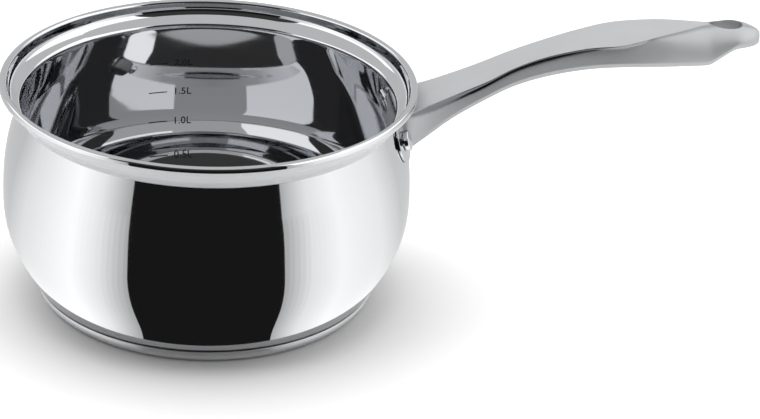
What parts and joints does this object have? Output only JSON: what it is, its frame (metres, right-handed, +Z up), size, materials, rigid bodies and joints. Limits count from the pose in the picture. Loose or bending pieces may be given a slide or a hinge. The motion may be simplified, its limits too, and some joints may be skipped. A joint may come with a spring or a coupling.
{
  "type": "saucepan",
  "caption": "Bellied saucepan with a flared rolled rim, a capsule base and a long curved handle with a hanging hole, riveted on through a bracket.",
  "frame": {"origin": "middle of the flat resting face under the base", "axes": "+Z up along the pan's axis, +X along the handle from the pan to its tip, +Y to the left of the handle"},
  "size_m": [0.3692, 0.2, 0.1362],
  "materials": {
    "mirror_steel": "mirror-polished stainless steel",
    "cap_steel": "turned and polished magnetic steel",
    "core_aluminium": "plain pressed aluminium",
    "satin_steel": "satin-brushed cast stainless steel"
  },
  "bodies": {
    "root": {"vessel": "mirror_steel", "base_cap": "cap_steel", "base_core": "core_aluminium", "handle_bracket": "mirror_steel", "handle": "satin_steel", "rivet_front": "mirror_steel", "rivet_back": "mirror_steel"}
  },
  "joints": []
}
